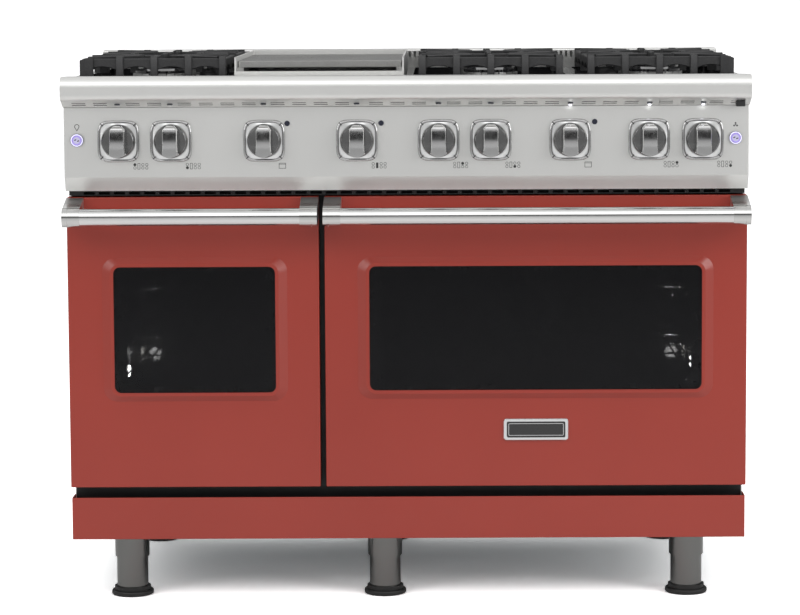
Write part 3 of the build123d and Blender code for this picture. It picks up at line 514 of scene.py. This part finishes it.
def build_grate(name):
    """Cast grate over one burner: ten posts, arched rails between them, and fingers round the cap."""
    low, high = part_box(name)
    mid = centre(name)
    top, foot = high[2], low[2]
    rail_top, rail_low = top - 4 * MM, top - 27 * MM
    x0, x1, y0, y1 = low[0], high[0], low[1], high[1]
    rail = 10 * MM
    inset = rail / 2 + 4.5 * MM
    build = bmesh.new()
    posts_x = [mid.x + n * POST_PITCH for n in range(-2, 3)]
    stops = [x0 + inset, *posts_x[1:-1], x1 - inset]
    for y in (y0 + inset, y1 - inset):
        for a, b in zip(stops, stops[1:]):
            add_bar(build, (a, y), (b, y), rail, rail_top, rail_low, 8 * MM)
    posts_y = [y0 + inset, mid.y, y1 - inset]
    for x in (x0 + inset, x1 - inset):
        for a, b in zip(posts_y, posts_y[1:]):
            add_bar(build, (x, a), (x, b), rail, rail_top, rail_low, 10 * MM, steps=12)
    half = 6.5 * MM
    for y, inward in ((y0, 1), (y1, -1)):
        for x in posts_x:
            side = (x > mid.x) - (x < mid.x)
            if abs(x) > CORNER_POST_X:
                add_corner_post(build, x0 if side < 0 else x1, y, -side, inward, foot, top)
            else:
                add_post(build, min(max(x, x0 + half), x1 - half), y, inward, foot, top)
    for n, angle in enumerate(turns(8)):
        ray = Vector((math.cos(angle), math.sin(angle)))
        straight = n % 2 == 0
        inner = (30 if straight else 50) * MM
        reach_x = (x1 - x0) / 2 - inset
        reach_y = (y1 - y0) / 2 - inset
        outer = min(reach_x / max(abs(ray.x), 1e-6), reach_y / max(abs(ray.y), 1e-6))
        begin = (mid.x + ray.x * outer, mid.y + ray.y * outer)
        finish = (mid.x + ray.x * inner, mid.y + ray.y * inner)
        add_bar(build, begin, finish, 9 * MM, top, top - 16 * MM, 5 * MM, tip=0.85, steps=10)
    for x in posts_x[1:-1:2]:
        for y, inward in ((y0, 1), (y1, -1)):
            begin, finish = (x, y + inward * 8 * MM), (x, y + inward * 42 * MM)
            add_bar(build, begin, finish, 8.5 * MM, top, top - 15 * MM, 4 * MM)
    grate = to_object(name + "_casting", build, IRON, name)
    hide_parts(name)


def build_igniters():
    """White ceramic spark electrodes with a steel tip beside each burner."""
    ceramic = bmesh.new()
    tips = bmesh.new()
    for x, y in BURNERS:
        at = (x + 43 * MM, y + 36 * MM, DECK - 14 * MM)
        add_lathe(ceramic, in_mm([(3, 0), (3, 13), (2.2, 14)]), at, "Z", 16)
        add_lathe(tips, in_mm([(0.9, 13), (0.9, 18)]), at, "Z", 10)
    to_object("igniter_ceramics", ceramic, CERAMIC, "root")
    to_object("igniter_tips", tips, CHROME, "root")


# ---------------------------------------------------------------- control panel details
def squircle(half, power, count=64):
    """Points (x, z) of a superellipse: power 2 is a circle and a high one is nearly a square."""
    points = []
    for a in turns(count):
        c, s = math.cos(a), math.sin(a)
        reach = half / (abs(c) ** power + abs(s) ** power) ** (1 / power)
        points.append((reach * c, reach * s))
    return points


BEAD_RINGS = [  # half width in mm, roundness, height off the panel in mm
    (BEZEL_HALF, 4.6, 0.0),
    (BEZEL_HALF, 4.6, 2.2),
    (BEZEL_HALF - 0.4, 4.6, 3.6),
    (BEZEL_HALF - 1.3, 4.5, 4.9),
    (BEZEL_HALF - 2.5, 4.5, 5.6),
    (BEZEL_HALF - 3.7, 4.4, 5.4),
    (BEZEL_HALF - 4.6, 4.4, 4.6),
    (BEZEL_HALF - 5.0, 4.4, 3.6),
    (BEZEL_HALF - 5.0, 4.4, 0.0),
]
DISH_RINGS = [(BEZEL_HALF - 4.8, 4.4, 3.0), (30.5, 2.0, 3.9), (30.5, 2.0, 0.0), (BEZEL_HALF - 4.8, 4.4, 0.0)]


def build_bezels():
    """Chromed bead round a satin dish, with a small black block across each corner: a painted dark reflection.
    """
    beads, dishes, painted_dark_reflections = bmesh.new(), bmesh.new(), bmesh.new()
    for name in KNOBS:
        mid = centre(name)
        for build, rings in ((beads, BEAD_RINGS), (dishes, DISH_RINGS)):
            loops = []
            for half, power, rise in rings:
                outline = [(mid.x + x, mid.z + z) for x, z in squircle(half * MM, power)]
                loops.append(at_depth(outline, PANEL_FACE - rise * MM))
            skin_loops(build, loops, ring=True)
        # Black blocks on the bead's corners are painted dark reflections.
        for corner in range(4):
            a = math.pi / 4 + corner * math.pi / 2
            reach = (BEZEL_HALF + 4.4) * MM
            at = Vector((mid.x + reach * math.cos(a), PANEL_FACE - 4.4 * MM, mid.z + reach * math.sin(a)))
            size = Vector((6.5, 2.6, 1.8)) * MM / 2
            add_block(painted_dark_reflections, at - size, at + size, 0.4 * MM, Matrix.Rotation(-a, 4, "Y"))
    bead = to_object("knob_bezel_beads", beads, BEAD, "root", 50)
    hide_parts("knob_bezels")
    to_object("knob_bezel_dishes", dishes, BEZEL, "root", 50)
    to_object("knob_bezel_painted_dark_reflections", painted_dark_reflections, SATIN, "root")


def build_knob(name):
    """Pointer knob: a dark skirt, and a broad raised grip whose bright face leans back towards its top."""
    low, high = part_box(name)
    mid = centre(name)
    back, front = high[1], low[1]
    radius = (high[0] - low[0]) / 2
    skirt_face = back - 11 * MM
    build = bmesh.new()
    skirt = [
        (3.6 * MM, 0),
        (radius - 1.2 * MM, 0),
        (radius, -1.2 * MM),
        (radius, -7.5 * MM),
        (radius - 0.8 * MM, -9.8 * MM),
        (radius - 2.6 * MM, -11 * MM),
        (radius - 4.0 * MM, -10.8 * MM),
        (3.6 * MM, -10.0 * MM),
    ]
    add_lathe(build, skirt, (mid.x, back, mid.z), "Y", 56)
    knob = to_object(name + "_cap", build, KNOB, name, 40)
    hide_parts(name)
    grip = bmesh.new()
    rows = 28
    reach = radius - 1.2 * MM
    taper_from, fall_from = 0.7, 0.88
    loops = []
    for n in range(rows + 1):
        t = math.sin(math.pi * (n / rows - 0.5))  # -1 at the grip's bottom end, 1 at its top end
        z = t * reach
        half = (14.4 + 1.5 * max(0.0, -t) ** 2) * MM
        if t < 0:
            half = max(2.5 * MM, min(half, math.sqrt(max(0.0, reach**2 - z**2))))
        if t > taper_from:
            half *= 1 - 0.55 * ((t - taper_from) / 0.3) ** 1.4
        crown = front + (0.4 + 1.9 * (t + 0.62) ** 2) * MM
        if t > fall_from:
            crown += 9 * ((t - fall_from) / 0.12) * MM
        base, lean, edge = skirt_face + 2.2 * MM, min(2.0 * MM, half / 3), 0.7 * MM
        across = [(-half, base), (-half + lean, crown + edge), (-half + lean + edge, crown)]
        across += [(-x, y) for x, y in reversed(across)]
        loops.append([(mid.x + x, y, mid.z + z) for x, y in across])
    skin_loops(grip, loops)
    to_object(name + "_grip", grip, KNOB_FACE, name, 40)


def add_disc(build, x, z, radius, hole=0.0):
    """Printed dot, or ring if hole is given, standing a hair off the panel."""
    outer = circle(x, z, radius, 20)
    front, back = PANEL_FACE - PRINT, PANEL_FACE
    if hole:
        add_frame_ring(build, outer, circle(x, z, hole, 20), front, back)
    else:
        skin_loops(build, [at_depth(outer, front), at_depth(outer, back)])


def add_print(build, low_x, low_z, high_x, high_z):
    """Printed solid rectangle."""
    add_block(build, (low_x, PANEL_FACE - PRINT, low_z), (high_x, PANEL_FACE, high_z))


def add_open_box(build, x, z, width, height, line=0.8 * MM):
    """Printed rectangle outline."""
    outer = rounded_rectangle(x, z, width, height, 0.5 * MM, 2)
    inner = rounded_rectangle(x, z, width - 2 * line, height - 2 * line, 0.2 * MM, 2)
    add_frame_ring(build, outer, inner, PANEL_FACE - PRINT, PANEL_FACE)


def add_oven_mark(build, x, z):
    """Pictogram of an oven: a box with a line near its top."""
    add_open_box(build, x + 32 * MM, z, 12.5 * MM, 10 * MM)
    add_print(build, x + 26 * MM, z + 2.4 * MM, x + 38 * MM, z + 3.1 * MM)


def add_burner_map(build, x, z, works):
    """Pictogram of the cooktop, with the burner or griddle that the knob works filled in."""
    for number, column in enumerate(("left", "griddle", "centre", "right")):
        cx = x + (28.5 + 7.0 * number) * MM
        if column != "griddle":
            for row, cz in (("rear", z + 2.9 * MM), ("front", z - 2.9 * MM)):
                add_disc(build, cx, cz, 2.6 * MM, hole=0.0 if works == [column, row] else 1.9 * MM)
        elif works == ["griddle"]:
            add_print(build, cx - 2 * MM, z - 5 * MM, cx + 2 * MM, z + 5 * MM)
        else:
            add_open_box(build, cx, z, 4.6 * MM, 11 * MM)


def teardrop(x, z, radius):
    """Outline of a bulb: round above and drawn to a point below."""
    points = []
    for a in turns(28):
        c, s = math.cos(a), math.sin(a)
        points.append((x + radius * (c * (1 + 0.7 * min(0, s))), z + radius * (s * (1 if s > 0 else 1.7))))
    return points


def build_markings():
    """Plain pictograms: what each knob works, and a bulb and a fan over the buttons."""
    build = bmesh.new()
    for name in KNOBS:
        mid = centre(name)
        works = name.split("_")[1:]
        z = mid.z - 44.5 * MM
        if works[-1] == "oven":
            add_oven_mark(build, mid.x, z)
        else:
            add_burner_map(build, mid.x, z, works)
    bulb = centre("button_oven_light")
    bulb_z = bulb.z + 24 * MM
    outlines = [teardrop(bulb.x, bulb_z, radius) for radius in (4.6 * MM, 3.5 * MM)]
    add_frame_ring(build, *outlines, PANEL_FACE - PRINT, PANEL_FACE)
    fan = centre("button_convection")
    fan_z = fan.z + 23 * MM
    add_disc(build, fan.x, fan_z, 1.1 * MM)
    for n in range(3):
        a = math.radians(90 + 120 * n)
        add_disc(build, fan.x + 3 * MM * math.cos(a), fan_z + 3 * MM * math.sin(a), 1.6 * MM)
    to_object("panel_pictograms", build, INK, "root")


def underside():
    """Inner and outer edge of the ledge's sloping underside, the way it faces, and a box's turn to lie on it."""
    ledge_low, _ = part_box("landing_ledge")
    low = Vector((0, PANEL_FACE, ledge_low[2]))
    high = Vector((0, ledge_low[1] + CHIN, ledge_low[2] + CHIN))
    slope = high - low
    turn = Matrix.Rotation(math.atan2(slope.z, slope.y), 4, "X")
    slope.normalize()
    return low, high, Vector((0, -slope.z, slope.y)), turn


def add_button_ring(build, mid, big, small, depth):
    """Flat ring round a button, its radii in mm."""
    outer, inner = circle(mid.x, mid.z, big * MM, 48), circle(mid.x, mid.z, small * MM, 48)
    add_frame_ring(build, outer, inner, depth, depth + 0.7 * MM)


def build_lights():
    """Lit rings on the buttons, and the lit indicator lamps under the ledge."""
    bright = bmesh.new()
    for name in BUTTONS:
        lilac = bmesh.new()
        marks = bmesh.new()
        mid = centre(name)
        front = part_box(name)[0][1]
        add_button_ring(bright, mid, 10.9, 9.0, PANEL_FACE - 4.2 * MM)
        add_button_ring(lilac, mid, 8.4, 6.2, front - 0.3 * MM)
        for side in (-1, 1):
            at = Vector((mid.x + side * 2.6 * MM, front, mid.z - side * 0.9 * MM))
            size = Vector((1.9, 0.2, 0.9)) * MM
            add_block(marks, at - size, at + size, 0.1 * MM, Matrix.Rotation(math.radians(-18), 4, "Y"))
        to_object(name + "_ring", lilac, LILAC, name)
        to_object(name + "_mark", marks, INK, name)
    to_object("button_glow_rings", bright, RING, "root")
    low, high, faces, turn = underside()
    lamps = bmesh.new()
    for name in LIT_KNOBS:
        at = low.lerp(high, 0.3) + Vector((centre(name).x, 0, 0)) + faces * 2.4 * MM
        size = Vector((2.6, 1.1, 0.5)) * MM
        add_block(lamps, at - size, at + size, 0.3 * MM, turn)
        add_lamp(f"{name}_glow", at + faces * 6 * MM, 0.0006, 3 * MM)
    to_object("ledge_lamps_lit", lamps, LED, "root")


def add_lamp(name, place, watts, radius):
    """Small round light for a lamp that is lit."""
    lamp = bpy.data.lights.new(name, "POINT")
    lamp.energy, lamp.shadow_soft_size = watts, radius
    holder = bpy.data.objects.new(name, lamp)
    holder.location = place
    bpy.context.scene.collection.objects.link(holder)


def build_vent_painted_shade_sheet():
    """Black sheet behind the slots of the ledge's underside: painted shade, where the ledge is open inside."""
    low, high, faces, turn = underside()
    ledge_low, ledge_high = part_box("landing_ledge")
    at = (low + high) / 2 - faces * 0.3 * MM
    size = Vector(((ledge_high[0] - ledge_low[0]) / 2 - 14 * MM, 9 * MM, 0.12 * MM))
    # The sheet is painted shade: flat black put where the open ledge would lie in shade.
    painted_shade_sheet = bmesh.new()
    add_block(painted_shade_sheet, at - size, at + size, 0.0, turn)
    to_object("ledge_vent_painted_shade_sheet", painted_shade_sheet, FRIT_AND_PAINTED_SHADE, "root")


# ---------------------------------------------------------------- door and oven details
def window_of(side):
    """Middle, width, height and depth of a door's outer pane."""
    low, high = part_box(f"door_{side}_glass")
    return (low[0] + high[0]) / 2, (low[2] + high[2]) / 2, high[0] - low[0], high[2] - low[2], low[1]


def build_window_frits():
    """Black printed border behind each outer pane."""
    for side in SIDES:
        x, z, width, height, front = window_of(side)
        build = bmesh.new()
        outer = rounded_rectangle(x, z, width - 1 * MM, height - 1 * MM, 15 * MM, 8)
        inner = rounded_rectangle(x + 1.5 * MM, z, width - 50 * MM, height - 30 * MM, 8 * MM, 8)
        add_frame_ring(build, outer, inner, front + 5.2 * MM, front + 5.8 * MM)
        to_object(f"door_{side}_window_border", build, FRIT_AND_PAINTED_SHADE, f"door_{side}")


def build_gaskets():
    """Woven heat seals round each oven mouth."""
    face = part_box("front_frame")[1][1] - 3 * MM
    for side in SIDES:
        low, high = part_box(f"oven_liner_{side}")
        x, z = (low[0] + high[0]) / 2, (low[2] + high[2]) / 2
        width, height = high[0] - low[0], high[2] - low[2]
        loops = []
        for grow, depth in ((14, 0.2), (14.6, 1.4), (13, 2.4), (9, 2.4), (7.4, 1.4), (8, 0.2)):
            outline = rounded_rectangle(x, z, width + grow * MM, height + grow * MM, 12 * MM, 6)
            loops.append(at_depth(outline, face - depth * MM))
        build = bmesh.new()
        skin_loops(build, loops, ring=True)
        to_object(f"oven_gasket_{side}", build, ROPE, "root")


def build_oven_lamps():
    """Halogen lamps on the ovens' outer walls: a steel dish and a glass cover, which lights the oven."""
    for side, sign, at_y, at_z in (("left", 1, 0.108, 0.367), ("right", -1, 0.150, 0.372)):
        low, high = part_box(f"oven_liner_{side}")
        wall = low[0] + 2 * MM if side == "left" else high[0] - 2 * MM
        dish = bmesh.new()
        profile = [(24, 0), (26, 1), (26, 3), (22, 4), (18, 2.5), (14, 2.2)]
        add_lathe(dish, in_mm(profile, sign), (wall, at_y, at_z), "X", 32)
        to_object(f"oven_lamp_dish_{side}", dish, CHROME, "root")
        cover = bmesh.new()
        profile = [(13, 2.4), (13, 4.4), (10.5, 5.6), (6, 6.3), (2, 6.5)]
        add_lathe(cover, in_mm(profile, sign), (wall, at_y, at_z), "X", 32)
        to_object(f"oven_lamp_cover_{side}", cover, OVEN_LAMP, "root")
        add_lamp(f"oven_lamp_light_{side}", (wall + sign * 30 * MM, at_y, at_z), 0.35, 12 * MM)


def build_badge_field():
    """Dark enamel field with a thin raised line, in the blank name plate."""
    low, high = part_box("badge")
    x, z = (low[0] + high[0]) / 2, (low[2] + high[2]) / 2
    field = bmesh.new()
    outline = rounded_rectangle(x, z, 105.4 * MM, 28.4 * MM, 2.8 * MM)
    depth = low[1] + 1.5 * MM
    skin_loops(field, [at_depth(outline, depth - 0.7 * MM), at_depth(outline, depth)])
    to_object("badge_field", field, ENAMEL, "door_right")
    line = bmesh.new()
    outer = rounded_rectangle(x, z, 99 * MM, 22 * MM, 2.2 * MM)
    inner = rounded_rectangle(x, z, 97.4 * MM, 20.4 * MM, 1.6 * MM)
    add_frame_ring(line, outer, inner, depth - 1.0 * MM, depth - 0.6 * MM)
    to_object("badge_line", line, CHROME, "door_right")


def build_fasteners():
    """Pan-head screws round the back panel, and the grommet of the supply lead's hole."""
    low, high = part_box("back_panel")
    screws = bmesh.new()
    inset = 9 * MM
    xs = [low[0] + inset + n * (high[0] - low[0] - 2 * inset) / 8 for n in range(9)]
    zs = [low[2] + inset, high[2] - inset]
    places = [(x, z) for x in xs for z in zs]
    middle_z = [low[2] + inset + n * (high[2] - low[2] - 2 * inset) / 5 for n in range(1, 5)]
    places += [(x, z) for x in (xs[0], xs[-1]) for z in middle_z]
    head = [(4.2, 0.0), (4.2, 1.2), (3.4, 2.2), (1.6, 2.6), (1.5, 1.5)]
    for x, z in places:
        add_lathe(screws, in_mm(head), (x, high[1], z), "Y", 20)
    to_object("back_panel_screws", screws, ZINC, "root")
    grommet = bmesh.new()
    bore = [(7.4, 3.4), (7.4, -1.0)]
    profile = [(10.6, -1.0), (10.6, 1.0), (14.5, 1.2), (14.5, 3.6), (12.5, 4.6), (8.0, 4.6), *bore]
    add_lathe(grommet, in_mm(profile), (-0.480, high[1], 0.180), "Y", 32)
    to_object("supply_hole_grommet", grommet, RUBBERY, "root")


def build_ledge_block():
    """Black switch block under the ledge's right end."""
    ledge_low, ledge_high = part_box("landing_ledge")
    block = bmesh.new()
    size = Vector((8, 9, 5.5)) * MM
    at = Vector((ledge_high[0] - 18 * MM, (PANEL_FACE + ledge_low[1] + CHIN) / 2, ledge_low[2] + 3.6 * MM))
    add_block(block, at - size, at + size, 2 * MM)
    to_object("ledge_switch_block", block, SATIN, "root")


# ---------------------------------------------------------------- studio
def mix_for_camera(tree, lit, seen, output):
    """The camera sees one shader, and everything that it lights or reflects in gets the other."""
    path = tree.nodes.new("ShaderNodeLightPath")
    chooser = tree.nodes.new("ShaderNodeMixShader")
    tree.links.new(path.outputs["Is Camera Ray"], chooser.inputs["Fac"])
    tree.links.new(lit, chooser.inputs[1])
    tree.links.new(seen, chooser.inputs[2])
    tree.links.new(chooser.outputs["Shader"], tree.nodes[output].inputs["Surface"])


def floor_paint():
    """Pale floor: plain white to the camera; in reflections its colour is painted darker with distance, a
    painted falloff of light like a lit patch's.
    """
    paint = bpy.data.materials.new("studio_floor")
    paint.use_nodes = True
    tree = paint.node_tree
    tree.nodes.remove(tree.nodes["Principled BSDF"])
    seen = tree.nodes.new("ShaderNodeBsdfDiffuse")
    seen.inputs["Color"].default_value = (2.0, 2.0, 2.0, 1)
    patch = tree.nodes.new("ShaderNodeBsdfDiffuse")
    where = tree.nodes.new("ShaderNodeTexCoord")
    away = tree.nodes.new("ShaderNodeVectorMath")
    away.operation = "LENGTH"
    # Painted light falloff: in reflections the floor's colour drops from 0.88 to 0.66 with distance.
    painted_falloff = tree.nodes.new("ShaderNodeMapRange")
    for key, value in (("From Min", 1.0), ("From Max", 1.9), ("To Min", 0.88), ("To Max", 0.66)):
        painted_falloff.inputs[key].default_value = value
    tree.links.new(where.outputs["Object"], away.inputs[0])
    tree.links.new(away.outputs["Value"], painted_falloff.inputs["Value"])
    tree.links.new(painted_falloff.outputs["Result"], patch.inputs["Color"])
    mix_for_camera(tree, patch.outputs["BSDF"], seen.outputs["BSDF"], "Material Output")
    return paint


SKY = [  # direction's height, level: a dark band between the floor's glow and the bright ceiling
    (0.0, 0.58),
    (0.09, 0.46),
    (0.14, 0.03),
    (0.40, 0.03),
    (0.50, 0.80),
    (0.85, 0.75),
    (1.0, 0.5),
]
SOFTBOXES = [  # name, place, aim, width, height, watts
    ("softbox_top", (0.0, -0.6, 3.4), (0, 0, 0.6), 4.2, 3.0, 9.0),
    ("softbox_front", (0.0, -4.0, 3.6), (0, 0, 0.5), 6.0, 3.4, 60.0),
    ("softbox_left", (-3.2, -3.0, 2.3), (0, 0, 0.5), 2.0, 2.6, 48.0),
    ("softbox_right", (3.4, -2.6, 2.0), (0, 0, 0.5), 1.8, 2.4, 62.0),
]


def build_floor():
    """Wide floor, a hair under the feet."""
    floor = bmesh.new()
    bmesh.ops.create_grid(floor, x_segments=1, y_segments=1, size=400)
    mesh = bpy.data.meshes.new("studio_floor")
    floor.to_mesh(mesh)
    floor.free()
    mesh.materials.append(floor_paint())
    ground = bpy.data.objects.new("studio_floor", mesh)
    bpy.context.scene.collection.objects.link(ground)
    ground.location.z = -0.4 * MM


def build_sky():
    """Plain white backdrop for the camera, and a soft studio sky for the reflections."""
    world = bpy.data.worlds.new("studio")
    world.use_nodes = True
    tree = world.node_tree
    sky = tree.nodes["Background"]
    where = tree.nodes.new("ShaderNodeTexCoord")
    split = tree.nodes.new("ShaderNodeSeparateXYZ")
    ramp = tree.nodes.new("ShaderNodeValToRGB")
    while len(ramp.color_ramp.elements) < len(SKY):
        ramp.color_ramp.elements.new(0.5)
    for element, (height, level) in zip(ramp.color_ramp.elements, SKY):
        element.position = height
        element.color = (level, level, level, 1)
    tree.links.new(where.outputs["Generated"], split.inputs["Vector"])
    tree.links.new(split.outputs["Z"], ramp.inputs["Fac"])
    tree.links.new(ramp.outputs["Color"], sky.inputs["Color"])
    sky.inputs["Strength"].default_value = 1.14
    plain = tree.nodes.new("ShaderNodeBackground")
    plain.inputs["Color"].default_value = (1, 1, 1, 1)
    mix_for_camera(tree, sky.outputs["Background"], plain.outputs["Background"], "World Output")
    bpy.context.scene.world = world


def build_softboxes():
    """Large soft lights, each turned to its aim, and plain colours for the picture."""
    scene = bpy.context.scene
    for name, place, aim, width, height, watts in SOFTBOXES:
        lamp = bpy.data.lights.new(name, "AREA")
        lamp.shape = "RECTANGLE"
        lamp.size, lamp.size_y, lamp.energy = width, height, watts
        holder = bpy.data.objects.new(name, lamp)
        holder.location = place
        holder.rotation_euler = (Vector(aim) - Vector(place)).to_track_quat("-Z", "Y").to_euler()
        scene.collection.objects.link(holder)
    scene.view_settings.view_transform = "Standard"
    scene.view_settings.look = "None"


def build_camera():
    """Long lens a little above the cooktop, looking slightly down, a hair off level and right of the middle."""
    camera = bpy.data.cameras.new("camera")
    camera.sensor_width = 36.0
    camera.lens = 128.8
    camera.shift_x = -0.0509
    camera.shift_y = -0.0588
    holder = bpy.data.objects.new("camera", camera)
    holder.location = (0.062, DOOR_FACE - 5.09, 1.1145)
    holder.rotation_euler = (math.radians(84.41), math.radians(0.24), 0)
    bpy.context.scene.collection.objects.link(holder)
    bpy.context.scene.camera = holder


# ---------------------------------------------------------------- make everything
build_camera()
build_floor()
build_sky()
build_softboxes()
for node_name, cad_node in NODES.items():
    finish_node(node_name, cad_node)
for grate_name in GRATES:
    build_grate(grate_name)
build_igniters()
build_bezels()
for knob_name in KNOBS:
    build_knob(knob_name)
build_markings()
build_lights()
build_window_frits()
build_gaskets()
build_oven_lamps()
build_badge_field()
build_fasteners()
build_ledge_block()
build_vent_painted_shade_sheet()
